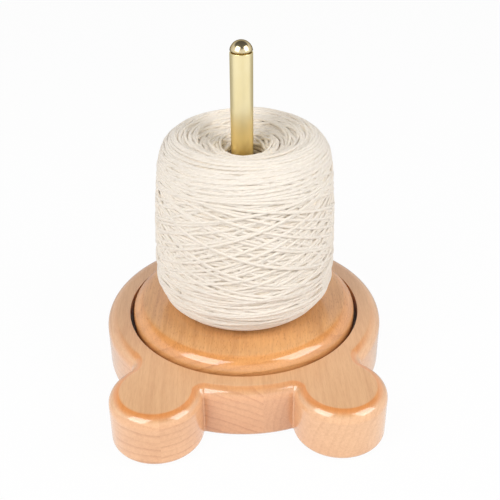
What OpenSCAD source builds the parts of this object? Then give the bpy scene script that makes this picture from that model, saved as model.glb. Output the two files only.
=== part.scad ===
// Yarn ball holder. A wooden base with two round ears holds a turntable on a ball bearing,
// and a brass spindle on the turntable carries a cake of yarn.
// Millimetres, +Z up, the floor at z = 0, the ears to the front (-Y).

/* [Base] */
// Radius of the round body of the base
base_r = 80.5; // [77:0.5:88]
// Thickness of the base
base_t = 30; // [28:0.5:36]
// Rounding of the upper edge of the base
base_edge = 6.5; // [4:0.5:8]
// Rounding of the lower edge of the base
base_foot_edge = 3; // [1:0.5:5]
// Radius of each ear
ear_r = 24.5; // [23:0.5:28]
// Distance from the rim of the body to the centre of an ear
ear_out = 9.14; // [6:0.02:11]
// Angle by which each ear stands off the front
ear_angle = 32.5; // [30:0.1:34]
// Radius of the inside corner between the body and an ear, on the outer side
side_cove = 6; // [4:0.5:8]
// Radius of the inside corner between the body and an ear, in the notch between the ears
notch_cove = 1; // [1:0.25:3]
// Depth to which an inside corner is cut past the edges that it meets
cove_relief = 0.2; // [0.15:0.05:0.3]
// Distance of the left glue line inward from the centre of the left ear
left_glue_in = 3; // [1:0.25:5]
// Distance of the right glue line outward from the centre of the right ear
right_glue_out = 12.25; // [11:0.25:15]

/* [Foot pads] */
// Radius of a foot pad
pad_r = 9; // [7:0.5:11]
// Thickness of a foot pad
pad_t = 3; // [2.5:0.1:4]
// Height of a foot pad below the base
pad_proud = 1; // [0.5:0.1:1.5]
// Sideways distance from the spin axis to a rear foot pad
rear_pad_x = 48; // [40:1:48]
// Backward distance from the spin axis to a rear foot pad
rear_pad_y = 45; // [36:1:46]

/* [Turntable] */
// Radius of the recess that the turntable runs in
recess_r = 67.25; // [65:0.25:69]
// Gap all round between the turntable and the recess
rim_gap = 2.1; // [1:0.1:2.5]
// Thickness of the turntable
disc_t = 16; // [15:0.5:18]
// Height of the turntable above the base
disc_proud = 7.5; // [6:0.5:10]
// Rounding of the rim of the turntable
disc_edge = 8; // [4:0.5:9]
// Rounding of the lower edge of the turntable
disc_foot_edge = 1; // [0.5:0.1:1.5]

/* [Bearing] */
// Radius of the circle that the balls run on
ball_circle_r = 40; // [38:0.5:42]
// Radius of a ball
ball_r = 2.5; // [2:0.1:2.8]
// Number of balls
ball_count = 20; // [12:1:24]
// Running clearance between a ball and its groove
ball_clearance = 0.05; // [0.03:0.01:0.08]
// Gap between the two rings, where the cage runs
ring_gap = 1.6; // [1.4:0.1:2]
// Thickness of the ball cage
cage_t = 0.6; // [0.5:0.1:0.7]
// Height of the ball cage
cage_h = 6.4; // [6:0.1:6.8]
// Clearance between a ball and its hole in the cage
cage_clearance = 0.1; // [0.05:0.05:0.2]
// Height of each bearing ring
ring_h = 8; // [7.5:0.5:9]
// Width of each bearing ring
ring_w = 13; // [12:0.5:14]
// Height by which the outer ring sits above the inner one
ring_step = 0.8; // [0.5:0.1:1.2]

/* [Screws] */
// Number of screws in each bearing ring
screw_count = 4; // [3:1:4]
// Shank radius of a screw
screw_r = 1.6; // [1.4:0.1:1.8]
// Head radius of a screw
screw_head_r = 3.2; // [2.8:0.1:3.4]
// Length of a screw with its head
screw_len = 16; // [14:0.5:17]
// Clearance round a screw in its hole
screw_clearance = 0.05; // [0.02:0.01:0.1]
// Depth of a screw hole past the point of the screw
screw_hole_extra = 0.5; // [0.3:0.1:1]
// Length of the point of a screw
screw_point = 3; // [2:0.1:4]
// Radius of the tip of a screw
screw_tip_r = 0.3; // [0.2:0.05:0.5]
// Width of the cross slots in a screw head
screw_slot_w = 0.8; // [0.6:0.1:1]
// Depth of the cross slots in a screw head
screw_slot_depth = 1.2; // [0.8:0.1:1.4]
// Radius of the hole in the base through which the outer ring screws are driven
access_r = 3.9; // [3.6:0.1:4.5]

/* [Spindle] */
// Outer radius of the spindle tube
spindle_r = 6; // [5:0.1:6.5]
// Wall of the spindle tube
spindle_wall = 1.2; // [1:0.1:1.4]
// Length of the spindle tube above the turntable
spindle_len = 146; // [130:1:160]
// Length of the dome's plug inside the tube
cap_plug = 10; // [6:0.5:14]
// Sliding clearance of the plugs in the tube
plug_clearance = 0.02; // [0.01:0.01:0.05]
// Length of the foot plug inside the tube
foot_plug = 16; // [14:0.5:20]
// Depth that the foot plug sits in the turntable
foot_socket = 4; // [3:0.5:5]
// Radius of the bolt below the spindle
bolt_r = 3; // [2.5:0.1:3.2]
// Length of the bolt below its head
bolt_len = 18; // [16:0.5:20]
// Radius of the bolt head
bolt_head_r = 5.5; // [5:0.1:6]
// Height of the bolt head
bolt_head_h = 4; // [3:0.1:4.5]
// Radius of the washer
washer_r = 7; // [6.5:0.1:8]
// Thickness of the washer
washer_t = 1.2; // [1:0.1:1.5]
// Depth of the pocket for the bolt head
bolt_pocket = 6.5; // [6:0.1:7]
// Clearance round the bolt in the foot plug
bolt_clearance = 0.05; // [0.02:0.01:0.1]
// Clearance round the bolt, the washer and their holes in the turntable
bolt_hole_clearance = 0.3; // [0.2:0.05:0.5]
// Width across the corners of the bolt's hexagon socket
bolt_socket_w = 4.8; // [4:0.1:5.4]
// Depth of the bolt's hexagon socket
bolt_socket_depth = 2; // [1.5:0.1:2.5]

/* [Yarn] */
// Outer radius of the yarn cake over its turns
yarn_r = 49; // [44:0.5:54]
// Height of the yarn cake
yarn_h = 103; // [90:1:112]
// Radius of the hole through the yarn cake
yarn_hole_r = 9; // [8.5:0.1:10]
// Sideways offset at which the loose cake sits on the spindle
yarn_shift = 1; // [0:0.1:1.2]
// Rounding of the upper shoulder of the cake
yarn_shoulder = 19; // [14:0.5:22]
// Rounding of the lower edge of the cake
yarn_heel = 17; // [12:0.5:20]
// Depth of the dish in the top of the cake
yarn_dish = 7; // [4:0.5:10]
// Diameter of the strand in the outer turns
strand_d = 1.9; // [1.5:0.1:2.2]
// Gap between the outer turns that cross
strand_gap = 0.95; // [0.9:0.05:1.4]
// Clearance between the strand's flats and the core
strand_seat = 0.1; // [0.05:0.05:0.3]
// Angle by which the turns reach over the upper shoulder
shoulder_reach = 58; // [45:1:62]
// Angle by which the turns reach under the lower edge
heel_reach = 35; // [20:1:38]

/* [Hidden] */
$fn = 96;
// Centre of the right ear, seen from the spin axis
ear_x = (base_r + ear_out) * sin(ear_angle);
ear_y = (base_r + ear_out) * cos(ear_angle);
// The spin axis lies behind the middle of the base, because the ears reach forward
axis_y = (ear_y + ear_r - base_r) / 2;
base_top = pad_proud + base_t;
disc_r = recess_r - rim_gap;
disc_top = base_top + disc_proud;
disc_bottom = disc_top - disc_t;
recess_floor = disc_bottom - ring_h - ring_step;
ball_z = recess_floor + (ring_h + ring_step) / 2;
inner_ring_r = ball_circle_r - ring_gap / 2;
outer_ring_r = ball_circle_r + ring_gap / 2;
screw_depth = screw_len - ring_h + screw_hole_extra;
inner_screw_r = inner_ring_r - ring_w / 2 - 1;
outer_screw_r = outer_ring_r + ring_w / 2 + 1;
spindle_bore_r = spindle_r - spindle_wall;
plug_r = spindle_bore_r - plug_clearance;
spindle_top = disc_top + spindle_len;
pocket_top = disc_bottom + bolt_pocket;
bolt_seat = pocket_top - washer_t;
bolt_top = bolt_seat + bolt_len;
// Heights of the two layers of turns above the core, with room for the flats of the strand
rings_per_turn = 24;
chord_sag = yarn_r * (1 - cos(180 / rings_per_turn));
inner_layer = strand_d / 2 + chord_sag + strand_seat;
outer_layer = inner_layer + strand_d + strand_gap;
core_r = yarn_r - strand_d / 2 - outer_layer;
core_h = yarn_h - strand_d / 2 - outer_layer;

// Places a piece that is drawn round the spin axis
module on_axis() {
  translate([0, axis_y, 0]) children();
}

// Half section of a disc with a rounded upper and lower edge
module rounded_section(r, h, edge, foot_edge) {
  square([r - edge, h]);
  square([r - foot_edge, h - edge]);
  translate([0, foot_edge]) square([r, h - edge - foot_edge]);
  translate([r - edge, h - edge]) circle(edge);
  translate([r - foot_edge, foot_edge]) circle(foot_edge);
}

// Half section of the wood round an inside corner, with the edges rounded the same way
module cove_section(r, h, edge, foot_edge, reach) {
  difference() {
    translate([r, 0]) square([reach, h]);
    difference() {
      translate([r - 1, h - edge]) square([edge + 1, edge + 1]);
      translate([r + edge, h - edge]) circle(edge);
    }
    difference() {
      translate([r - 1, -1]) square([foot_edge + 1, foot_edge + 1]);
      translate([r + foot_edge, foot_edge]) circle(foot_edge);
    }
  }
}

// Disc of the base's thickness, with its edges rounded
module rounded_disc(r) {
  rotate_extrude()
    rounded_section(r, base_t, base_edge, base_foot_edge);
}

// Centre of an inside corner of the given radius between the body and the right ear
function cove_centre(cove, side) =
  let (ear = [ear_x, -ear_y])
  let (d = norm(ear))
  let (u = ear / d)
  let (v = [-u.y, u.x])
  let (a = base_r + cove)
  let (b = ear_r + cove)
  let (along = (a * a - b * b + d * d) / (2 * d))
  u * along + v * side * sqrt(a * a - along * along);
side_centre = cove_centre(side_cove, 1);
notch_centre = cove_centre(notch_cove, -1);

// Wood between the body, the right ear and one inside corner
module cove_piece(centre, cove) {
  ear = [ear_x, -ear_y];
  intersection() {
    translate([0, 0, -1]) linear_extrude(base_t + 2) polygon([[0, 0], ear, centre]);
    translate([centre.x, centre.y, 0])
      rotate_extrude()
        cove_section(cove + cove_relief, base_t, base_edge, base_foot_edge, base_r);
  }
}

// Right ear with its two inside corners
module ear() {
  translate([ear_x, -ear_y, 0]) rounded_disc(ear_r);
  cove_piece(side_centre, side_cove);
  cove_piece(notch_centre, notch_cove);
}

// Base before it is drilled and recessed
module base_block() {
  rounded_disc(base_r);
  ear();
  mirror([1, 0, 0]) ear();
}

// Centres of the foot pads, seen from the spin axis
pad_places = [[ear_x, -ear_y], [-ear_x, -ear_y], [rear_pad_x, rear_pad_y], [-rear_pad_x, rear_pad_y]];

// Turns a piece to each screw of a ring
module at_screws(r, first) {
  for (i = [0 : screw_count - 1])
    rotate([0, 0, first + i * 360 / screw_count])
      translate([r, 0, 0])
        children();
}

// Finished base, standing at its height above the floor
module base() {
  difference() {
    translate([0, 0, pad_proud]) base_block();
    translate([0, 0, recess_floor]) cylinder(r = recess_r, h = base_t);
    translate([0, 0, recess_floor])
      at_screws(inner_screw_r, 45)
        translate([0, 0, -screw_depth]) cylinder(r = screw_r + screw_clearance, h = screw_depth + 1);
    translate([0, outer_screw_r, 0]) cylinder(r = access_r, h = recess_floor + 1);
    for (p = pad_places)
      translate([p.x, p.y, 0]) cylinder(r = pad_r, h = pad_t);
  }
}

// One glued board: the part of the base between two glue lines
module board(from, to) {
  color("BurlyWood")
    on_axis()
      intersection() {
        base();
        translate([from, -2 * base_r, -1]) cube([to - from, 4 * base_r, base_top + 2]);
      }
}
left_glue_line = left_glue_in - ear_x;
right_glue_line = right_glue_out + ear_x;
middle_glue_line = (left_glue_line + right_glue_line) / 2;

module left_board() {
  board(-2 * base_r, left_glue_line);
}

module centre_left_board() {
  board(left_glue_line, middle_glue_line);
}

module centre_right_board() {
  board(middle_glue_line, right_glue_line);
}

module right_board() {
  board(right_glue_line, 2 * base_r);
}

module foot_pads() {
  color("DimGray")
    on_axis()
      for (p = pad_places)
        translate([p.x, p.y, 0]) cylinder(r = pad_r, h = pad_t);
}

// Countersunk wood screw, head upwards with its top at z = 0
module screw() {
  head_h = screw_head_r - screw_r;
  difference() {
    union() {
      translate([0, 0, -head_h]) cylinder(r1 = screw_r, r2 = screw_head_r, h = head_h);
      translate([0, 0, screw_point - screw_len])
        cylinder(r = screw_r, h = screw_len - screw_point - head_h / 2);
      translate([0, 0, -screw_len]) cylinder(r1 = screw_tip_r, r2 = screw_r, h = screw_point);
    }
    for (turn = [0, 90])
      rotate([0, 0, turn])
        translate([-screw_r, -screw_slot_w / 2, -screw_slot_depth])
          cube([2 * screw_r, screw_slot_w, screw_slot_depth + 1]);
  }
}

// Hole in a ring for that screw
module screw_hole() {
  head_h = screw_head_r - screw_r;
  hole_r = screw_r + screw_clearance;
  translate([0, 0, -ring_h - 1]) cylinder(r = hole_r, h = ring_h + 2);
  translate([0, 0, -head_h]) cylinder(r1 = hole_r, r2 = hole_r + head_h, h = head_h);
  cylinder(r = hole_r + head_h, h = 1);
}

// Groove that the balls run in
module ball_groove() {
  translate([0, 0, ball_z])
    rotate_extrude()
      translate([ball_circle_r, 0]) circle(ball_r + ball_clearance);
}

// Plain ring between two radii
module ring(r1, r2, h) {
  rotate_extrude()
    translate([r1, 0]) square([r2 - r1, h]);
}

module bearing_inner_ring() {
  color("Silver")
    on_axis()
      difference() {
        translate([0, 0, recess_floor]) ring(inner_ring_r - ring_w, inner_ring_r, ring_h);
        ball_groove();
        translate([0, 0, recess_floor + ring_h]) at_screws(inner_screw_r, 45) screw_hole();
      }
}

module inner_ring_screws() {
  color("Gainsboro")
    on_axis()
      translate([0, 0, recess_floor + ring_h])
        at_screws(inner_screw_r, 45)
          screw();
}

module bearing_balls() {
  color("WhiteSmoke")
    on_axis()
      for (i = [0 : ball_count - 1])
        rotate([0, 0, i * 360 / ball_count])
          translate([ball_circle_r, 0, ball_z]) sphere(ball_r);
}

module ball_cage() {
  color("Ivory")
    on_axis()
      difference() {
        translate([0, 0, ball_z - cage_h / 2])
          ring(ball_circle_r - cage_t / 2, ball_circle_r + cage_t / 2, cage_h);
        for (i = [0 : ball_count - 1])
          rotate([0, 0, i * 360 / ball_count])
            translate([ball_circle_r - ball_r, 0, ball_z])
              rotate([0, 90, 0])
                cylinder(r = ball_r + cage_clearance, h = 2 * ball_r);
      }
}

module bearing_outer_ring() {
  color("Silver")
    on_axis()
      difference() {
        translate([0, 0, recess_floor + ring_step]) ring(outer_ring_r, outer_ring_r + ring_w, ring_h);
        ball_groove();
        translate([0, 0, recess_floor + ring_step])
          at_screws(outer_screw_r, 90)
            rotate([180, 0, 0]) screw_hole();
      }
}

module outer_ring_screws() {
  color("Gainsboro")
    on_axis()
      translate([0, 0, recess_floor + ring_step])
        at_screws(outer_screw_r, 90)
          rotate([180, 0, 0]) screw();
}

module turntable_disc() {
  color("Peru")
    on_axis()
      difference() {
        translate([0, 0, disc_bottom])
          rotate_extrude()
            rounded_section(disc_r, disc_t, disc_edge, disc_foot_edge);
        translate([0, 0, disc_top - foot_socket])
          cylinder(r = plug_r + plug_clearance, h = foot_socket + 1);
        translate([0, 0, disc_bottom]) cylinder(r = bolt_r + bolt_hole_clearance, h = disc_t);
        translate([0, 0, disc_bottom - 1])
          cylinder(r = washer_r + bolt_hole_clearance, h = bolt_pocket + 1);
        translate([0, 0, disc_bottom])
          at_screws(outer_screw_r, 90)
            translate([0, 0, -1]) cylinder(r = screw_r + screw_clearance, h = screw_depth + 1);
      }
}

module spindle_tube() {
  color("Gold")
    on_axis()
      translate([0, 0, disc_top])
        ring(spindle_bore_r, spindle_r, spindle_len);
}

module spindle_cap() {
  color("Goldenrod")
    on_axis()
      translate([0, 0, spindle_top]) {
        rotate_extrude()
          intersection() {
            circle(spindle_r);
            square(spindle_r);
          }
        translate([0, 0, -cap_plug]) cylinder(r = plug_r, h = cap_plug + 0.5);
      }
}

module spindle_plug() {
  color("DarkGoldenrod")
    on_axis()
      difference() {
        translate([0, 0, disc_top - foot_socket]) cylinder(r = plug_r, h = foot_socket + foot_plug);
        translate([0, 0, disc_top - foot_socket - 1])
          cylinder(r = bolt_r + bolt_clearance, h = bolt_top - disc_top + foot_socket + 2);
      }
}

module spindle_bolt() {
  color("LightSlateGray")
    on_axis()
      difference() {
        union() {
          translate([0, 0, bolt_seat - bolt_head_h]) cylinder(r = bolt_head_r, h = bolt_head_h);
          translate([0, 0, bolt_seat - 1]) cylinder(r = bolt_r, h = bolt_len + 1);
        }
        translate([0, 0, bolt_seat - bolt_head_h - 1])
          cylinder(r = bolt_socket_w / 2, h = bolt_socket_depth + 1, $fn = 6);
      }
}

module spindle_washer() {
  color("LightGray")
    on_axis()
      translate([0, 0, bolt_seat])
        ring(bolt_r + bolt_hole_clearance, washer_r, washer_t);
}

// Places a piece that is drawn round the middle of the yarn cake
module on_cake() {
  translate([yarn_shift, axis_y, 0]) children();
}

module yarn_core() {
  color("Linen")
    on_cake()
      translate([0, 0, disc_top])
        rotate_extrude()
          difference() {
            rounded_section(core_r, core_h, yarn_shoulder, yarn_heel);
            translate([-1, -1]) square([yarn_hole_r + 1, yarn_h + 2]);
            polygon([
              [yarn_hole_r - 1, core_h + 1],
              [yarn_hole_r - 1, core_h - yarn_dish],
              [yarn_hole_r + 1, core_h - yarn_dish],
              [core_r - yarn_shoulder, core_h],
              [core_r - yarn_shoulder, core_h + 1]
            ]);
          }
}

// Outer turns of the yarn: passes up on an inner layer and down on an outer one.
// A pass is counted in cycles: whole numbers at the foot, halves at the top.
turns_per_cycle = 2.3;
first_cycle = 0.56;
last_cycle = 9.78;
turn_softness = 0.06;
layer_change = 0.012;
function ease(x) = let (t = min(1, max(0, x))) t * t * (3 - 2 * t);
function soften(a) =
  a < turn_softness ? a * a / (2 * turn_softness) + turn_softness / 2 :
  a > 1 - turn_softness ? 1 - (1 - a) * (1 - a) / (2 * turn_softness) - turn_softness / 2 : a;
function layer(f) =
  f < 0.25 ? 1 - ease((f + layer_change) / (2 * layer_change)) :
  f < 0.75 ? ease((f - 0.5 + layer_change) / (2 * layer_change)) :
  1 - ease((f - 1 + layer_change) / (2 * layer_change));

// Outline of the core that the turns follow: under the heel, up the side, over the shoulder
heel_run = yarn_heel * heel_reach * PI / 180;
side_run = core_h - yarn_heel - yarn_shoulder;
shoulder_run = yarn_shoulder * shoulder_reach * PI / 180;
function outline_point(run, rise) =
  run < heel_run ?
    let (a = run / heel_run * heel_reach - heel_reach)
    [core_r - yarn_heel + (yarn_heel + rise) * cos(a), yarn_heel + (yarn_heel + rise) * sin(a)] :
  run < heel_run + side_run ? [core_r + rise, yarn_heel + run - heel_run] :
    let (a = (run - heel_run - side_run) / shoulder_run * shoulder_reach)
    [core_r - yarn_shoulder + (yarn_shoulder + rise) * cos(a),
     core_h - yarn_shoulder + (yarn_shoulder + rise) * sin(a)];
function turn_point(c) =
  let (f = c - floor(c))
  let (run = (heel_run + side_run + shoulder_run) * (1 - soften(abs(2 * f - 1))))
  let (p = outline_point(run, inner_layer + (outer_layer - inner_layer) * layer(f)))
  let (a = 360 * turns_per_cycle * c)
  [p.x * cos(a), p.x * sin(a), disc_top + p.y];

// End of the strand: a quarter bend, then straight into the core
bend_r = outer_layer - strand_d;
bend_steps = 5;
function end_points(c, side) =
  let (p = turn_point(c))
  let (out = [p.x, p.y, 0] / norm([p.x, p.y]))
  let (q = turn_point(c + side * 0.001))
  let (go = (q - p) / norm(q - p))
  let (flat = go - out * (go * out))
  let (dir = flat / norm(flat))
  concat(
    [for (i = [1 : bend_steps])
      let (a = 90 * i / bend_steps)
      p + dir * bend_r * sin(a) - out * bend_r * (1 - cos(a))],
    [p + dir * bend_r - out * (bend_r + strand_d)]
  );
function reversed(list) = [for (i = [len(list) - 1 : -1 : 0]) list[i]];
ring_total = ceil((last_cycle - first_cycle) * turns_per_cycle * rings_per_turn);
function cycle_at(i, total) = first_cycle + (last_cycle - first_cycle) * i / total;
function strand_path(total) = concat(
  reversed(end_points(first_cycle, -1)),
  [for (i = [0 : total]) turn_point(cycle_at(i, total))],
  end_points(last_cycle, 1)
);
function unit(v) = v / norm(v);
function strand_ring(path, i) =
  let (last = len(path) - 1)
  let (t = unit(path[min(i + 1, last)] - path[max(i - 1, 0)]))
  let (n = unit([0, 0, 1] - t * t.z))
  let (b = cross(t, n))
  [for (k = [0 : 5]) path[i] + (n * cos(60 * k) + b * sin(60 * k)) * strand_d / 2];

// Least gap of the strand to itself, measured on points between its rings
function least_gap(path) =
  let (last = len(path) - 1)
  let (close = [for (i = [0 : last - 1], k = [0 : 3]) path[i] + (path[i + 1] - path[i]) * k / 4])
  let (count = len(close))
  let (skip = rings_per_turn)
  min([for (i = [0 : count - skip - 1])
    min([for (j = [i + skip : count - 1]) norm(close[i] - close[j])])]) - strand_d;

module yarn_winding() {
  path = strand_path(ring_total);
  last = len(path) - 1;
  points = [for (i = [0 : last]) each strand_ring(path, i)];
  sides = [for (i = [0 : last - 1], k = [0 : 5])
    let (a = 6 * i + k)
    let (b = 6 * i + (k + 1) % 6)
    each [[a, b, a + 6], [b, b + 6, a + 6]]];
  caps = [for (k = [1 : 4])
    each [[0, k + 1, k], [6 * last, 6 * last + k, 6 * last + k + 1]]];
  echo(least_gap_of_the_strand = least_gap(path));
  color("Beige")
    on_cake()
      polyhedron(points = points, faces = concat(sides, caps));
}

left_board();
centre_left_board();
centre_right_board();
right_board();
foot_pads();
bearing_inner_ring();
inner_ring_screws();
bearing_balls();
ball_cage();
bearing_outer_ring();
outer_ring_screws();
turntable_disc();
spindle_tube();
spindle_cap();
spindle_plug();
spindle_bolt();
spindle_washer();
yarn_core();
yarn_winding();
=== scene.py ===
import math
import bpy
import numpy as np
from mathutils import Matrix, Vector


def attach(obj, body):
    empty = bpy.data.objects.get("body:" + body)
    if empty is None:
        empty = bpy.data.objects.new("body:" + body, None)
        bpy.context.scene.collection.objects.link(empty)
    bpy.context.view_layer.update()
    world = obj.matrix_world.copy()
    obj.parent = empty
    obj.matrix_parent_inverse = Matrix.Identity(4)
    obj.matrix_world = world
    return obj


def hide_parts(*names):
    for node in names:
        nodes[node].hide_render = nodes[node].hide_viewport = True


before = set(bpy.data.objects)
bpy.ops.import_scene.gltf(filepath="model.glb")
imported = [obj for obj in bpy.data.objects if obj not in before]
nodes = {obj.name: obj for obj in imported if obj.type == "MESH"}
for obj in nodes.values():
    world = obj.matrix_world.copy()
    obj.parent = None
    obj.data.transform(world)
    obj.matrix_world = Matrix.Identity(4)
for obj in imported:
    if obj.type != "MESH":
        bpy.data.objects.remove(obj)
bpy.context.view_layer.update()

# Camera. It stands in front of the ears and looks down on the turntable, a little from the
# left and a little tilted, as the photo was taken.
scene = bpy.context.scene
spin_axis = Vector((0.0, 0.0098, 0.0))
stand_off = 0.4102
eye_height = 0.3116
heading, pan, dip, roll = (math.radians(angle) for angle in (-1.49, -0.535, 30.641, -0.337))
ahead = Matrix.Rotation(pan, 3, "Z") @ Vector((-math.sin(heading), math.cos(heading), 0))
forward = ahead * math.cos(dip) + Vector((0, 0, -math.sin(dip)))
level_right = ahead.cross(Vector((0, 0, 1)))
level_up = level_right.cross(forward)
right = level_right * math.cos(roll) + level_up * math.sin(roll)
up = level_up * math.cos(roll) - level_right * math.sin(roll)
eye = Matrix((right, up, -forward)).transposed().to_4x4()
from_axis = Vector((stand_off * math.sin(heading), -stand_off * math.cos(heading), eye_height))
eye.translation = spin_axis + from_axis
camera = bpy.data.objects.new("camera", bpy.data.cameras.new("camera"))
scene.collection.objects.link(camera)
scene.camera = camera
camera.matrix_world = eye
camera.data.sensor_width = 36
camera.data.lens = 59.89
camera.data.clip_start = 0.01

# Studio. A plain white floor, a white room with a dark ceiling, and two large soft boxes in
# front at the left and the right. The lens sees floor and room as plain white. Gloss shows
# the floor dimmer towards the back and along a strip at the right.
floor_reach = 12
paper_white = (0.8, 0.8, 0.8, 1)
light_white = (1, 1, 1, 1)
shown_white = 0.96
back_start, back_end, back_level = -0.10, 0.14, 0.55
strip_x, strip_reach, strip_level = 0.12, 0.09, 0.84
ceiling_start, ceiling_end, ceiling_level = 0.50, 0.72, 0.14
room_light = 0.82
room_back_start, room_back_end, room_back_level = -0.25, 0.7, 0.85
box_distance = 0.95
boxes_aim = Vector((0, 0, 0.08))


def shader_node(tree, kind, inputs=(), **settings):
    """Adds one shader node. inputs maps a socket to a value or to the output that feeds it."""
    made = tree.nodes.new("ShaderNode" + kind)
    for key, value in settings.items():
        setattr(made, key, value)
    for key, value in dict(inputs).items():
        if isinstance(value, bpy.types.NodeSocket):
            tree.links.new(value, made.inputs[key])
        else:
            made.inputs[key].default_value = value
    return made


def sums(tree, operation, a, b=0.0, c=0.0):
    """One step of arithmetic between node outputs or numbers."""
    return shader_node(tree, "Math", {0: a, 1: b, 2: c}, operation=operation).outputs[0]


def ramp(tree, value, low, high, to_low=0.0, to_high=1.0):
    """A smooth step of a node output from low to high."""
    ends = {"Value": value, 1: low, 2: high, 3: to_low, 4: to_high}
    return shader_node(tree, "MapRange", ends, interpolation_type="SMOOTHSTEP").outputs[0]


def soft_box(name, azimuth, elevation, width, height, power):
    """One soft box aimed at the object. Azimuth is from the front, towards the right."""
    lamp = bpy.data.lights.new(name, "AREA")
    lamp.shape = "RECTANGLE"
    lamp.size = width
    lamp.size_y = height
    lamp.energy = power
    holder = bpy.data.objects.new(name, lamp)
    scene.collection.objects.link(holder)
    a, e = math.radians(azimuth), math.radians(elevation)
    way = Vector((math.sin(a) * math.cos(e), -math.cos(a) * math.cos(e), math.sin(e)))
    holder.location = way * box_distance + boxes_aim
    holder.rotation_euler = way.to_track_quat("Z", "Y").to_euler()


floor_corners = [(x * floor_reach, y * floor_reach, 0) for x, y in ((-1, -1), (1, -1), (1, 1), (-1, 1))]
floor_mesh = bpy.data.meshes.new("floor")
floor_mesh.from_pydata(floor_corners, [], [(0, 1, 2, 3)])
floor = bpy.data.objects.new("floor", floor_mesh)
scene.collection.objects.link(floor)
paper = bpy.data.materials.new("white_paper")
paper.use_nodes = True
tree = paper.node_tree
tree.nodes.clear()
matt = shader_node(tree, "BsdfDiffuse", {"Color": paper_white}).outputs[0]
path = shader_node(tree, "LightPath").outputs
on_floor = shader_node(tree, "SeparateXYZ", {0: shader_node(tree, "TexCoord").outputs["Object"]}).outputs
back_dim = ramp(tree, on_floor["Y"], back_start, back_end, 1.0, back_level)
from_strip = sums(tree, "ABSOLUTE", sums(tree, "SUBTRACT", on_floor["X"], strip_x))
strip_dim = ramp(tree, from_strip, 0.0, strip_reach, strip_level, 1.0)
strength = sums(tree, "MAXIMUM", sums(tree, "MULTIPLY", back_dim, strip_dim), path["Is Camera Ray"])
white = shader_node(tree, "Emission", {"Color": light_white, "Strength": strength}).outputs[0]
seen = sums(tree, "MAXIMUM", path["Is Camera Ray"], path["Is Glossy Ray"])
seen = sums(tree, "MAXIMUM", seen, path["Is Transmission Ray"])
share = sums(tree, "MULTIPLY", seen, shown_white)
mix = shader_node(tree, "MixShader", {"Fac": share, 1: matt, 2: white}).outputs[0]
shader_node(tree, "OutputMaterial", {"Surface": mix})
floor_mesh.materials.append(paper)

room = bpy.data.worlds.new("room")
scene.world = room
room.use_nodes = True
tree = room.node_tree
tree.nodes.clear()
path = shader_node(tree, "LightPath").outputs
towards = shader_node(tree, "SeparateXYZ", {0: shader_node(tree, "TexCoord").outputs["Generated"]}).outputs
ceiling = ramp(tree, towards["Z"], ceiling_start, ceiling_end, 1.0, ceiling_level)
in_gloss = ramp(tree, towards["Y"], room_back_start, room_back_end, 1.0, room_back_level)
walls = ramp(tree, path["Is Glossy Ray"], 0.0, 1.0, room_light, in_gloss)
unshaded = sums(tree, "MAXIMUM", path["Is Camera Ray"], path["Is Transmission Ray"])
glow = sums(tree, "MAXIMUM", sums(tree, "MULTIPLY", walls, ceiling), unshaded)
backdrop = shader_node(tree, "Background", {"Color": light_white, "Strength": glow}).outputs[0]
shader_node(tree, "OutputWorld", {"Surface": backdrop})

soft_box("soft_box_left", -47, 41, 0.60, 0.68, 5.7)
soft_box("soft_box_right", 62, 39, 0.58, 0.66, 4.95)
scene.view_settings.view_transform = "Standard"

# Base. Four beech boards glued edge to edge with the grain front to back, cut to a round body
# with two ears, rounded all round on a router and varnished. Each board has its own growth rings.
# The last colour of each tone is painted light that lightens the sides of the boards, more so and bluer on
# the two right boards.
base_light, base_dark, base_edge = (0.78, 0.46, 0.235), (0.55, 0.264, 0.117), (0.98, 0.66, 0.37)
base_tone = (base_light, base_dark, base_edge, (1.09, 1.05, 1.08))
painted_paler_sides_tone = (base_light, base_dark, base_edge, (1.12, 1.12, 1.18))
base_flecks = 0.12
fleck_shade = (0.64, 0.48, 0.34, 1)
# Painted shade for the end grain in the notch between the ears.
notch_painted_shade = (0.94, 0.88, 0.86, 1)


def material(name, **sockets):
    """A node material and its tree and shader, with the plain sockets of the shader set."""
    made = bpy.data.materials.new(name)
    made.use_nodes = True
    shader = made.node_tree.nodes["Principled BSDF"]
    for key, value in sockets.items():
        shader.inputs[key.replace("_", " ")].default_value = value
    return made, made.node_tree, shader


def vectors(tree, operation, a, b=(0, 0, 0), c=(0, 0, 0)):
    """One step of arithmetic between vectors: its outputs, Vector and Value."""
    return shader_node(tree, "VectorMath", {0: a, 1: b, 2: c}, operation=operation).outputs


def noise(tree, spot, scale, detail, shift):
    """Noise over millimetres, with a scale for each axis."""
    moved = {"Vector": spot, "Scale": scale, "Location": (shift, shift * 1.7, -shift)}
    where = shader_node(tree, "Mapping", moved).outputs[0]
    return shader_node(tree, "TexNoise", {"Vector": where, "Scale": 1.0, "Detail": detail}).outputs


def blend(tree, share, a, b, kind="MIX"):
    """Mixes two colours, or multiplies the first by the second, by a share."""
    mixed = {0: share, 6: a, 7: b}
    return shader_node(tree, "Mix", mixed, data_type="RGBA", blend_type=kind).outputs[2]


def fine_relief(tree, shader, height, strength, depth):
    """Gives a finish the fine relief of a node output, with its depth in metres."""
    bump = shader_node(tree, "Bump", {"Strength": strength, "Distance": depth, "Height": height})
    tree.links.new(bump.outputs[0], shader.inputs["Normal"])


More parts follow.
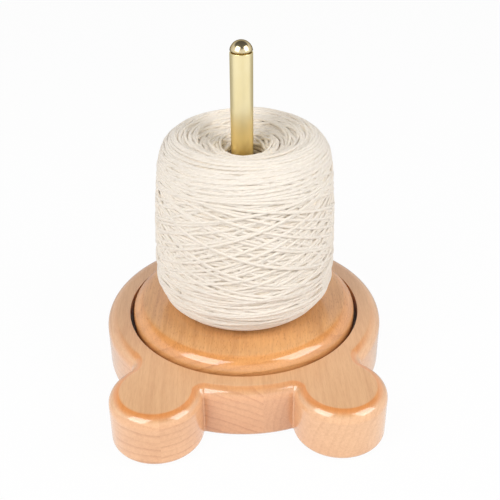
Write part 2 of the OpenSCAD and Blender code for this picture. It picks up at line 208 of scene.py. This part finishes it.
def beech(name, pith, year, tone, seed, flecks, rings=1.0, turned=0.0, eared=True):
    """Varnished beech with the grain along Y.

    pith is the heart of the tree in x and z, and year the width of a year's ring, in mm. tone is the
    light and the dark wood, the deeper colour of the rolled edges, and a colour for the sides that is
    painted light on the base and painted shade on the disc. flecks and rings say how strongly these
    show, turned how far the grain is turned about Z, and eared that it is the base.
    """
    made, tree, shader = material(
        name, Specular_IOR_Level=0.3, Coat_Weight=1.0, Coat_Roughness=0.13, Coat_IOR=1.75
    )
    where = shader_node(tree, "TexCoord").outputs
    sawn = {"Scale": (1000, 1000, 1000), "Rotation": (0, 0, turned), "Location": (-pith[0], 0, -pith[1])}
    spot = shader_node(tree, "Mapping", {"Vector": where["Object"], **sawn}).outputs[0]

    # Growth rings round the pith, wavering, with a dark late edge that differs from year to year.
    middle = (0.5, 0.5, 0.5)
    drift = noise(tree, spot, (0.016, 0.006, 0.016), 2.0, seed)["Color"]
    drift = vectors(tree, "SUBTRACT", drift, middle)["Vector"]
    waver = noise(tree, spot, (0.11, 0.02, 0.11), 3.0, seed + 3)["Color"]
    waver = vectors(tree, "SUBTRACT", waver, middle)["Vector"]
    grown = vectors(tree, "MULTIPLY_ADD", drift, (9, 0, 9), spot)["Vector"]
    grown = vectors(tree, "MULTIPLY_ADD", waver, (1.5, 0, 1.5), grown)["Vector"]
    across = vectors(tree, "MULTIPLY", grown, (1, 0, 1))["Vector"]
    years = sums(tree, "DIVIDE", vectors(tree, "LENGTH", across)["Value"], year)
    part = sums(tree, "FRACT", years)
    late = sums(tree, "MULTIPLY", ramp(tree, part, 0.5, 0.96), ramp(tree, part, 1.0, 0.95))
    whole = sums(tree, "FLOOR", years)
    season = shader_node(tree, "TexWhiteNoise", {"W": whole}, noise_dimensions="1D").outputs["Value"]
    late = sums(tree, "MULTIPLY", late, sums(tree, "MULTIPLY_ADD", season, 0.6 * rings, 0.4 * rings))

    # Fibres, streaks and clouds along the grain, pores in the end grain, and ray flecks elsewhere.
    facing = shader_node(tree, "SeparateXYZ", {0: where["Normal"]}).outputs
    end = ramp(tree, sums(tree, "ABSOLUTE", facing["Y"]), 0.35, 0.8)
    fibre = noise(tree, spot, (3.2, 0.16, 3.2), 4.0, seed + 7)["Fac"]
    streak = noise(tree, spot, (0.7, 0.03, 0.7), 3.0, seed + 9)["Fac"]
    cloud = noise(tree, spot, (0.03, 0.012, 0.03), 3.0, seed + 11)["Fac"]
    pores = noise(tree, spot, (2.6, 0.8, 2.6), 2.0, seed + 13)["Fac"]
    rays = shader_node(tree, "Mapping", {"Vector": spot, "Scale": (1.4, 0.3, 1.4)}).outputs[0]
    rays = shader_node(tree, "TexVoronoi", {"Vector": rays, "Scale": 1.0, "Randomness": 1.0}).outputs
    chosen = shader_node(tree, "SeparateColor", {0: rays["Color"]}).outputs["Red"]
    fleck = sums(tree, "MULTIPLY", ramp(tree, rays["Distance"], 0.46, 0.16), ramp(tree, chosen, 0.15, 0.75))
    fleck = sums(tree, "MULTIPLY", fleck, sums(tree, "SUBTRACT", 1.0, end))

    # The colour of the wood, from light to dark by all of these.
    light, dark, edge, side = ((*colour, 1) for colour in tone)
    ring_depth = ramp(tree, end, 0, 1, 0.26, 0.5)
    depth = sums(tree, "MULTIPLY_ADD", late, ring_depth, ramp(tree, fibre, 0.3, 0.75, 0.0, 0.28))
    depth = sums(tree, "ADD", depth, ramp(tree, streak, 0.3, 0.75, -0.03, 0.2))
    depth = sums(tree, "ADD", depth, ramp(tree, cloud, 0.3, 0.7, -0.05, 0.22))
    end_pores = sums(tree, "MULTIPLY", end, ramp(tree, pores, 0.5, 0.75))
    depth = sums(tree, "MULTIPLY_ADD", end_pores, 0.18, depth)
    colour = blend(tree, depth, light, dark)
    colour = blend(tree, sums(tree, "MULTIPLY", fleck, flecks), colour, fleck_shade, "MULTIPLY")

    # The rolled edges take a deeper orange, more at the front and less in the middle between the ears.
    # Painted shade darkens the end grain in the notch between the ears, and the sides take on a painted
    # colour.
    starts, fades, ends = (0.985, 0.96, 0.66) if eared else (0.95, 0.75, 0.10)
    rolled = sums(
        tree, "MULTIPLY", ramp(tree, facing["Z"], 1.0, starts), ramp(tree, facing["Z"], ends, fades)
    )
    edge_strength = noise(tree, spot, (0.02, 0.02, 0.02), 2.0, seed + 15)["Fac"]
    edge_strength = ramp(tree, edge_strength, 0.3, 0.62, 0.7, 1.0)
    if eared:
        place = shader_node(tree, "SeparateXYZ", {0: where["Object"]}).outputs
        from_middle = sums(tree, "ABSOLUTE", place["X"])
        # Painted shade: the end grain in the notch between the ears is darkened.
        in_notch = sums(tree, "MULTIPLY", end, ramp(tree, from_middle, 0.027, 0.021))
        colour = blend(tree, in_notch, colour, notch_painted_shade, "MULTIPLY")
        edge_strength = sums(tree, "MULTIPLY", edge_strength, ramp(tree, from_middle, 0.018, 0.032, 0.55, 1.0))
        edge_strength = sums(tree, "MULTIPLY", edge_strength, ramp(tree, place["Y"], -0.015, -0.050, 0.25, 1.0))
    colour = blend(tree, sums(tree, "MULTIPLY", rolled, edge_strength), colour, edge, "MULTIPLY")
    # Painted light and shade on the sides: lighter on the base, a little darker on the disc.
    colour = blend(tree, ramp(tree, facing["Z"], 0.85, 0.3), colour, side, "MULTIPLY")
    tree.links.new(colour, shader.inputs["Base Color"])
    tree.links.new(ramp(tree, fibre, 0.2, 0.8, 0.42, 0.56), shader.inputs["Roughness"])
    grain = sums(tree, "MULTIPLY_ADD", late, -0.4, fibre)
    fine_relief(tree, shader, sums(tree, "MULTIPLY_ADD", fleck, -0.7, grain), 0.22, 0.00006)
    return made


def finish_node(name, made):
    """Gives a CAD piece its material."""
    nodes[name].data.materials.clear()
    nodes[name].data.materials.append(made)


for board, pith, year, tone, seed, ring_share in (
    ("left", (-62, -70), 4.6, base_tone, 1.0, 1.0),
    ("centre_left", (-38, -58), 3.7, base_tone, 5.0, 1.0),
    ("centre_right", (150, -12), 3.6, painted_paler_sides_tone, 11.0, 0.4),
    ("right", (170, -40), 4.2, painted_paler_sides_tone, 17.0, 0.5),
):
    finish_node(board + "_board", beech("beech_" + board, pith, year, tone, seed, base_flecks, ring_share))

# Bearing and fixings. Pressed aluminium rings with steel balls in a nylon cage, steel screws,
# a steel bolt and washer that hold the spindle from below, its brass plug, and rubber pads.
def in_mm(tree):
    """Places on a piece, in millimetres."""
    where = shader_node(tree, "TexCoord").outputs["Object"]
    return shader_node(tree, "Mapping", {"Vector": where, "Scale": (1000, 1000, 1000)}).outputs[0]


def plain_finish(name, low, high, grain, rough, metallic, depth):
    """A finish whose colour and roughness vary over a fine grain, scaled for each axis in mm."""
    made, tree, shader = material(name, Metallic=metallic)
    fine = noise(tree, in_mm(tree), grain, 4.0, 4.0)["Fac"]
    colour = blend(tree, ramp(tree, fine, 0.3, 0.7), (*low, 1), (*high, 1))
    tree.links.new(colour, shader.inputs["Base Color"])
    tree.links.new(sums(tree, "MULTIPLY_ADD", fine, 0.15, rough), shader.inputs["Roughness"])
    fine_relief(tree, shader, fine, 0.3, depth)
    return made


aluminium = plain_finish(
    "pressed_aluminium", (0.62, 0.63, 0.64), (0.72, 0.73, 0.74),
    grain=(0.5, 4, 4), rough=0.28, metallic=1.0, depth=0.00002,
)
steel = plain_finish(
    "zinc_plated_steel", (0.46, 0.46, 0.47), (0.60, 0.60, 0.58),
    grain=(2, 2, 2), rough=0.22, metallic=1.0, depth=0.00001,
)
nylon = plain_finish(
    "white_nylon", (0.72, 0.71, 0.67), (0.80, 0.79, 0.75),
    grain=(1, 1, 1), rough=0.40, metallic=0.0, depth=0.00002,
)
brass = plain_finish(
    "turned_brass", (0.70, 0.50, 0.20), (0.80, 0.62, 0.30),
    grain=(4, 4, 0.3), rough=0.30, metallic=1.0, depth=0.00002,
)
rubber = plain_finish(
    "black_rubber", (0.018, 0.017, 0.016), (0.035, 0.033, 0.030),
    grain=(3, 3, 3), rough=0.70, metallic=0.0, depth=0.00005,
)
for finish, names in (
    (aluminium, ("bearing_inner_ring", "bearing_outer_ring")),
    (steel, ("bearing_balls", "inner_ring_screws", "outer_ring_screws", "spindle_bolt", "spindle_washer")),
    (nylon, ("ball_cage",)),
    (brass, ("spindle_plug",)),
    (rubber, ("foot_pads",)),
):
    for name in names:
        finish_node(name, finish)

# Turntable. One turned disc of the same beech with a full round rim, a deeper colour, and the
# small dark flecks of flat-sawn wood. The bearing's outer ring is screwed to its underside.
# The last colour of the disc's tone darkens its sides a little, as painted shade.
disc_tone = ((0.82, 0.435, 0.168), (0.50, 0.213, 0.066), (0.98, 0.82, 0.61), (0.97, 0.94, 0.91))
disc_flecks = 0.5
disc = beech("beech_disc", (18, -46), 4.4, disc_tone, 23.0, disc_flecks, turned=0.06, eared=False)
finish_node("turntable_disc", disc)

# Spindle. A satin brass tube that stands on the disc, and a polished brass dome pressed into
# its top. Both have a small broken edge, and a fine dark joint shows where they meet. In mm.
disc_top = 38.5
tube_r, bore_r, tube_top = 6.0, 4.8, 184.3
foot_round, top_round = 0.3, 0.2
# The last of these is a painted reflection: the deeper gold of the tube's lower part, from the warm yarn
# and wood below.
satin_pale, satin_rubbed, low_painted_reflection = (0.935, 0.82, 0.50, 1), (0.905, 0.775, 0.44, 1), (0.97, 0.77, 0.34, 1)
shank_r, shank_foot, shank_top = 4.78, 174.5, 184.35
joint_r, joint_foot, joint_top = 5.3, 184.4, 185.2
dome_middle, dome_top = 184.5, 190.499
dome_pale, dome_worn = (0.74, 0.63, 0.40, 1), (0.70, 0.57, 0.34, 1)


def turned_piece(name, outline, hole=False):
    """A piece turned on a lathe about the spin axis, from the outline's radii and heights in mm."""
    sides = 128
    points, faces = [], []
    for radius, height in outline:
        for i in range(sides):
            a = 2 * math.pi * i / sides
            x, y = radius * math.cos(a) / 1000, radius * math.sin(a) / 1000
            points.append((x, y + spin_axis.y, height / 1000))
    rows = len(outline)
    for j in range(rows if hole else rows - 1):
        n = (j + 1) % rows
        for i in range(sides):
            k = (i + 1) % sides
            faces.append((j * sides + i, j * sides + k, n * sides + k, n * sides + i))
    if not hole:
        faces.append(tuple(range(sides))[::-1])
        faces.append(tuple((rows - 1) * sides + i for i in range(sides)))
    mesh = bpy.data.meshes.new(name)
    mesh.from_pydata(points, [], faces)
    mesh.polygons.foreach_set("use_smooth", [True] * len(mesh.polygons))
    made = bpy.data.objects.new(name, mesh)
    scene.collection.objects.link(made)
    return made


def bend(radius, height, size, start, stop, steps):
    """Points on a rounded edge in the outline of a turned piece."""
    angles = [math.radians(start + (stop - start) * i / steps) for i in range(steps + 1)]
    return [(radius + size * math.cos(a), height + size * math.sin(a)) for a in angles]


tube_outline = [(bore_r, disc_top)]
tube_outline += bend(tube_r - foot_round, disc_top + foot_round, foot_round, -90, 0, 4)
tube_outline += [(tube_r, height) for height in (60, 100, 140, 170)]
tube_outline += bend(tube_r - top_round, tube_top - top_round, top_round, 0, 90, 4)
tube_outline += [(5.4, tube_top), (bore_r, tube_top), (bore_r, 120)]
spindle = turned_piece("brass_tube", tube_outline, hole=True)
satin, tree, shader = material(
    "satin_brass", Metallic=1.0, Anisotropic=0.25, Specular_Tint=(0.70, 0.64, 0.50, 1)
)
spot = in_mm(tree)
drawn = noise(tree, spot, (2.5, 2.5, 0.02), 3.0, 2.0)["Fac"]
rubbed = noise(tree, spot, (0.12, 0.12, 0.05), 3.0, 6.0)["Fac"]
rise = shader_node(tree, "SeparateXYZ", {0: spot}).outputs["Z"]
satin_colour = blend(tree, ramp(tree, rubbed, 0.35, 0.7), satin_pale, satin_rubbed)
# Painted reflection of the yarn and wood on the lower part of the tube.
satin_colour = blend(tree, ramp(tree, rise, 156, 138), satin_colour, low_painted_reflection)
tree.links.new(satin_colour, shader.inputs["Base Color"])
tree.links.new(sums(tree, "MULTIPLY_ADD", drawn, 0.12, 0.26), shader.inputs["Roughness"])
fine_relief(tree, shader, drawn, 0.12, 0.00003)
spindle.data.materials.append(satin)
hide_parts("spindle_tube")
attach(spindle, "turntable")

dome_outline = [(4.6, shank_foot), (shank_r, shank_foot + 0.7), (shank_r, shank_top)]
dome_outline += [(joint_r, joint_foot), (joint_r, joint_top)]
dome_outline += bend(5.66, 185.47, 0.25, -90, 0, 5)
dome_outline += bend(0, dome_middle, tube_r, 12, 87, 25)
dome_outline += [(0.12, dome_top)]
dome = turned_piece("brass_dome", dome_outline)
bright, tree, shader = material("polished_brass", Metallic=1.0, Specular_Tint=(0.16, 0.13, 0.09, 1))
worn = noise(tree, in_mm(tree), (0.6, 0.6, 0.6), 4.0, 3.0)["Fac"]
dome_colour = blend(tree, ramp(tree, worn, 0.3, 0.7), dome_pale, dome_worn)
tree.links.new(dome_colour, shader.inputs["Base Color"])
tree.links.new(sums(tree, "MULTIPLY_ADD", worn, 0.06, 0.16), shader.inputs["Roughness"])
dome.data.materials.append(bright)
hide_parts("spindle_cap")
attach(dome, "turntable")

# Heart of the yarn cake. The deeper turns of the cotton yarn, wound first, which show only in
# the gaps between the outer strands and down the hole. One turned body, a little below the
# cake's outline, ridged down the hole, and leaning to the right as the whole cake does. In mm.
hole_r, shoulder_r, heel_r = 10.4, 35.0, 29.5
lip = 13.0
lean = 0.01
lean_middle = 50
cake_shift = 1.0
cell = 0.4
# The first two colours are the heart's cotton, painted lighter and warmer than the strands' as painted
# light, so the gaps stay bright. The last is painted shade down the hole.
deep_dark, deep_pale, hole_painted_shade = (0.84, 0.75, 0.62, 1), (0.90, 0.82, 0.71, 1), (0.42, 0.32, 0.21, 1)


def oval(r, z, wide, tall, start, stop, count):
    """Points on a quarter of an oval in the cake's outline."""
    angles = np.radians(np.linspace(start, stop, count))
    return [(r + wide * math.cos(a), z + tall * math.sin(a)) for a in angles]


hole = [(hole_r, z) for z in np.linspace(79.5, 92.0, 14)]
dish = [(r, 92.6 + 9.6 * (r - hole_r) / 25.1) for r in np.linspace(hole_r, shoulder_r, 30)]
shoulder = oval(shoulder_r, 82.5, 11.9, 19.7, 85, 0, 40)
flank = [(48.3, 68.0), (49.2, 53.0), (49.7, 37.0)]
heel = oval(heel_r, 20.5, 20.1, 20.5, 0, -90, 40)
cake = np.array(hole + dish + shoulder + flank + heel + [(11.0, 0.0)])
along = np.concatenate(([0], np.cumsum(np.hypot(*np.diff(cake, axis=0).T))))
steps = np.arange(0, along[-1], cell)
out_r = np.interp(steps, along, cake[:, 0])
out_z = np.interp(steps, along, cake[:, 1])
for _ in range(40):
    out_r[1:-1] = (out_r[:-2] + 2 * out_r[1:-1] + out_r[2:]) / 4
    out_z[1:-1] = (out_z[:-2] + 2 * out_z[1:-1] + out_z[2:]) / 4
slope_r, slope_z = np.gradient(out_r), np.gradient(out_z)
slope = np.hypot(slope_r, slope_z)
face_r, face_z = -slope_z / slope, slope_r / slope

sunk = np.interp(steps - lip, (14, 24, 46, 56), (1.5, 0.7, 0.7, 1.05))
skin = np.stack((out_r - face_r * sunk, out_z - face_z * sunk), 1)[2:-2:4]
skin = [(max(r, hole_r), max(z, 0.4)) for r, z in skin]
wall = [(10.0 + 0.2 * math.sin(i * 2.1), z) for i, z in enumerate(np.linspace(2.0, 77.0, 77))]
heart = turned_piece("yarn_heart", [(r, z + disc_top) for r, z in skin + wall], hole=True)
askew = Matrix.Translation((cake_shift / 1000, 0, 0))
askew[0][2] = lean
askew[0][3] -= lean * (disc_top + lean_middle) / 1000
heart.data.transform(askew)
deep_cotton, tree, shader = material("deep_cotton", Roughness=0.9, Specular_IOR_Level=0.1)
spot = in_mm(tree)
threads = noise(tree, spot, (0.25, 0.25, 0.9), 3.0, 5.0)["Fac"]
from_core = vectors(tree, "SUBTRACT", spot, (cake_shift, spin_axis.y * 1000, 0))["Vector"]
from_core = vectors(tree, "MULTIPLY", from_core, (1, 1, 0))["Vector"]
from_core = vectors(tree, "LENGTH", from_core)["Value"]
deep_colour = blend(tree, ramp(tree, threads, 0.35, 0.65), deep_dark, deep_pale)
# Painted shade: the cotton darkens towards the hole.
deep_colour = blend(tree, ramp(tree, from_core, 32.0, 11.0), deep_colour, hole_painted_shade)
tree.links.new(deep_colour, shader.inputs["Base Color"])
fine_relief(tree, shader, threads, 0.8, 0.001)
heart.data.materials.append(deep_cotton)
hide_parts("yarn_core")
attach(heart, "yarn_cake")

# Yarn strands. A soft cream cotton yarn, cross-wound on a hand winder: tilted loops that turn on
# the shoulder and under the heel and step round a little each turn, laid strand over strand. In mm.
strand = 1.7
plump = 1.12
faced = math.radians(225)
columns = 768
per_turn = 290
pitch = 2.25
shoulder_start, flank_middle, heel_start = 28, 78, 107
step_waver = 0.04
sunk_by, deepest, buried = 0.3, -1.3, 2.2
twist_length = 4.2
length_to_uv = 0.1
cotton_pale, cotton_deep = (0.81, 0.74, 0.655, 1), (0.70, 0.62, 0.515, 1)
rng = np.random.default_rng(7)
cells = np.arange(len(steps))
laid = np.zeros((columns, len(steps)))
strands = []


def soften(values, width):
    """A running mean with soft ends, repeated three times."""
    kernel = np.ones(width) / width
    for _ in range(3):
        values = np.convolve(np.pad(values, width // 2, mode="edge"), kernel, "valid")
    return values


def lay(turn, course):
    """Lays a piece of strand over those already there, and gives its height over the outline.

    turn is its angle, and course its way along the outline in mm.
    """
    rows = course / cell
    radius = np.interp(rows, cells, out_r)
    half = strand / 2
    column = np.round(turn / (2 * math.pi) * columns).astype(int)
    row = np.round(rows).astype(int)
    wide = int(math.ceil(half / (2 * math.pi * radius.min() / columns)))
    tall = int(math.ceil(half / cell))
    held = np.zeros(len(turn))
    prints = []
    for i in range(-wide, wide + 1):
        for j in range(-tall, tall + 1):
            off = np.hypot(i * 2 * math.pi * radius / columns, j * cell)
            inside = off < half
            if not inside.any():
                continue
            arch = np.sqrt(np.maximum(half * half - off * off, 0))
            at = ((column + i) % columns, np.clip(row + j, 0, len(steps) - 1))
            held = np.maximum(held, np.where(off < half * 0.5, laid[at] + arch * 0.55, 0))
            prints.append((at, inside, arch))
    # A strand under tension spans the dips between the strands that hold it up.
    height = held
    for _ in range(5):
        height = np.maximum(held * 0.92 + height * 0.08, soften(height, 5))
    height = soften(height, 3)[: len(held)]
    for at, inside, arch in prints:
        inside[:2] = inside[-2:] = False
        np.maximum.at(laid, (at[0][inside], at[1][inside]), (height + arch)[inside])
    return height


def wander(count, reach, amount):
    """Slow random waver along a strand, in mm."""
    knots = rng.normal(0, amount, max(4, count // reach + 4))
    return np.interp(np.linspace(0, len(knots) - 1.001, count), np.arange(len(knots)), knots)


def wind(middles, swings, steps_round, points=per_turn):
    """Winds one strand, with so many points a turn.

    middles and swings give each tilted loop along the outline, and steps_round how far it steps on.
    """
    knots = np.arange(len(middles))
    at = np.arange((len(middles) - 1) * points) / points
    turn = at * 2 * math.pi
    tilt = np.cos(turn - np.interp(at, knots, np.cumsum(steps_round)))
    course = np.interp(at, knots, middles) - np.interp(at, knots, swings) * tilt
    course = np.clip(course + wander(len(at), 90, 0.2), 0.5, steps[-1] - 0.5)
    heights = []
    for first in range(0, len(at), points // 2):
        half_turn = slice(first, first + points // 2)
        heights.append(lay(turn[half_turn], course[half_turn]))
    strands.append((turn, course, soften(np.concatenate(heights), 5)[: len(at)]))


def steps_for(turns, waves):
    """How far each turn steps on, so that the strand closes after so many turns and waves."""
    return 2 * math.pi * (1 - waves / turns) + rng.normal(0, step_waver, turns + 1)


def cross_wind(turns, waves, swing, lead):
    """Winds one crossing layer over the flank of the cake."""
    count = np.arange(turns + 1)
    middles = lip + flank_middle + 2 * np.sin(count * 1.3 + lead)
    wind(middles, swing + 2 * np.sin(count * 0.8 + lead), steps_for(turns, waves))


# Close turns from the hole to the foot, then tilted loops over the dish and the lip, and two layers that
# cross on the flank, with close turns on the shoulder and on the heel between them.
close_turns = np.arange(int((steps[-1] - 3) / pitch))
close_swings = np.minimum(0.4 + 0.2 * close_turns, 2.2)
wind(1 + pitch * close_turns, close_swings, np.full(len(close_turns), 0.13))
for turns, waves, middle, swing in ((13, 8, 23, 6), (14, 9, 13, 8), (9, 11, 4, 4.5)):
    count = np.arange(turns + 1)
    middles = lip + middle + np.sin(count * 1.1)
    wind(middles, swing + np.sin(count * 2.1), steps_for(turns, waves), points=240)
cross_wind(33, 20, 40, 0.0)
on_shoulder = np.arange(11)
shoulder_swings = 2.4 + 0.3 * np.sin(on_shoulder * 1.7)
wind(lip + shoulder_start + 2.1 * on_shoulder, shoulder_swings, np.full(len(on_shoulder), 0.25))
on_heel = np.arange(15)
wind(lip + heel_start + 1.8 * on_heel, 6 + np.sin(on_heel * 1.9), np.full(len(on_heel), 2.2))
cross_wind(35, 22, 28, 1.0)


def even_out(field, axis, ends, width=31):
    """A field over the cake, smoothed along one axis. Its ends wrap round the cake or hold their edge."""
    kernel = np.ones(width) / width

    def smooth(line):
        return np.convolve(np.pad(line, width // 2, mode=ends), kernel, "valid")

    return np.apply_along_axis(smooth, axis, field)


def look_up(field, turn, rows):
    """Values of a field over the cake at the points of a strand."""
    column = np.round(turn / (2 * math.pi) * columns).astype(int) % columns
    return field[column, np.round(rows).astype(int)]


def tube(points, outward, sides, thick):
    """Rings round a path: their points, with the side of the strand that faces outward as the first."""
    ahead = np.gradient(points, axis=0)
    ahead /= np.linalg.norm(ahead, axis=1)[:, None]
    out = outward - (outward * ahead).sum(1)[:, None] * ahead
    out /= np.linalg.norm(out, axis=1)[:, None]
    side = np.cross(ahead, out)
    angle = np.arange(sides) * 2 * math.pi / sides
    flat = 0.85
    ring = out[:, None] * (np.cos(angle) * flat)[None, :, None]
    ring = ring + side[:, None] * np.sin(angle)[None, :, None]
    return points[:, None] + ring * thick / 2


def runs_of(shown):
    """Stretches of a strand that show, each with a few hidden points at its ends."""
    shown = np.convolve(shown, np.ones(13), "same") > 0
    edges = np.flatnonzero(np.diff(np.concatenate(([False], shown, [False])).astype(int)))
    return [slice(a, b) for a, b in zip(edges[::2], edges[1::2]) if b - a > 6]


level = laid
for _ in range(2):
    level = even_out(even_out(level, 0, "wrap"), 1, "edge")
press_along = (5, 9, 22, 32, 46, 54, 94, 104)
press_share = (0.5, 0.42, 0.42, 0.13, 0.13, 0.24, 0.24, 0.26)
cake_foot = np.array([cake_shift, spin_axis.y * 1000, disc_top])
sides = 8
corners, quads, marks = [], [], []
total = 0
for turn, course, height in strands:
    rows = course / cell
    press = np.interp(course - lip, press_along, press_share)
    bulge = np.interp(course - lip, (5, 9), (0.8, 0.3))
    off = np.clip((height - look_up(level, turn, rows)) * press - sunk_by, deepest, bulge)
    off = soften(off, 3)[: len(turn)]
    hidden = look_up(laid, turn, rows) - height > buried * strand
    normal_r, normal_z = np.interp(rows, cells, face_r), np.interp(rows, cells, face_z)
    radius = np.interp(rows, cells, out_r) + normal_r * off
    altitude = np.interp(rows, cells, out_z) + normal_z * off
    aim = turn + faced
    points = np.stack((radius * np.cos(aim), radius * np.sin(aim), altitude), 1)
    points[:, 0] += lean * (points[:, 2] - lean_middle)
    outward = np.stack((normal_r * np.cos(aim), normal_r * np.sin(aim), normal_z), 1)
    for run in runs_of(~hidden):
        spots = points[run][::2] + cake_foot
        rings = tube(spots, outward[run][::2], sides, strand * plump)
        length = np.concatenate(([0], np.cumsum(np.linalg.norm(np.diff(spots, axis=0), axis=1))))
        first = np.arange(len(spots) - 1)[:, None] * sides + total
        a = first + np.arange(sides)[None, :]
        b = first + (np.arange(sides)[None, :] + 1) % sides
        quads.append(np.stack((a, b, b + sides, a + sides), 2).reshape(-1, 4))
        near = np.broadcast_to(length[:-1, None], a.shape)
        far = np.broadcast_to(length[1:, None], a.shape)
        k = np.broadcast_to(np.arange(sides)[None, :] / sides, a.shape)
        n = k + 1 / sides
        marks.append(np.stack((near, k, near, n, far, n, far, k), 2).reshape(-1, 8))
        corners.append(rings.reshape(-1, 3))
        total += len(spots) * sides
corners = np.concatenate(corners) / 1000
quads = np.concatenate(quads)
marks = np.concatenate(marks) * np.tile([length_to_uv, 1.0], 4)
mesh = bpy.data.meshes.new("yarn_strands")
mesh.from_pydata(corners.tolist(), [], quads.tolist())
mesh.uv_layers.new(name="twist").data.foreach_set("uv", marks.ravel())
mesh.polygons.foreach_set("use_smooth", [True] * len(mesh.polygons))
yarn = bpy.data.objects.new("yarn_strands", mesh)
scene.collection.objects.link(yarn)

cotton, tree, shader = material(
    "cream_cotton", Roughness=0.85, Specular_IOR_Level=0.2, Sheen_Weight=0.25, Sheen_Roughness=0.5,
    Subsurface_Weight=0.1, Subsurface_Radius=(1.0, 0.85, 0.65), Subsurface_Scale=0.002,
)
twist = shader_node(tree, "UVMap", uv_map="twist").outputs[0]
uv = shader_node(tree, "SeparateXYZ", {0: twist}).outputs
turned_by = sums(tree, "MULTIPLY", uv["Y"], 2.0)
wound = sums(tree, "MULTIPLY_ADD", uv["X"], 1 / length_to_uv / twist_length, turned_by)
ply = sums(tree, "SINE", sums(tree, "MULTIPLY", wound, 2 * math.pi))
hairs = {0: sums(tree, "MULTIPLY", uv["X"], 9.0), 1: sums(tree, "MULTIPLY", wound, 5.0)}
hairs = shader_node(tree, "CombineXYZ", hairs).outputs[0]
hairs = shader_node(tree, "TexNoise", {"Vector": hairs, "Scale": 1.0, "Detail": 3.0}).outputs["Fac"]
patch = noise(tree, in_mm(tree), (0.05, 0.05, 0.05), 2.0, 8.0)["Fac"]
# Painted shade darkens the grooves of the twist; the hairs and patches vary the cotton's own tone.
ply_shade_and_tone = sums(tree, "ADD", ramp(tree, ply, -1.0, 0.2, 0.22, 0.0), ramp(tree, hairs, 0.35, 0.7, 0.0, 0.2))
ply_shade_and_tone = sums(tree, "ADD", ply_shade_and_tone, ramp(tree, patch, 0.3, 0.7, 0.0, 0.15))
tree.links.new(blend(tree, ply_shade_and_tone, cotton_pale, cotton_deep), shader.inputs["Base Color"])
spun = sums(tree, "MULTIPLY_ADD", hairs, 0.5, sums(tree, "MULTIPLY", ply, 0.5))
fine_relief(tree, shader, spun, 0.4, 0.0003)
mesh.materials.append(cotton)
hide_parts("yarn_winding")
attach(yarn, "yarn_cake")
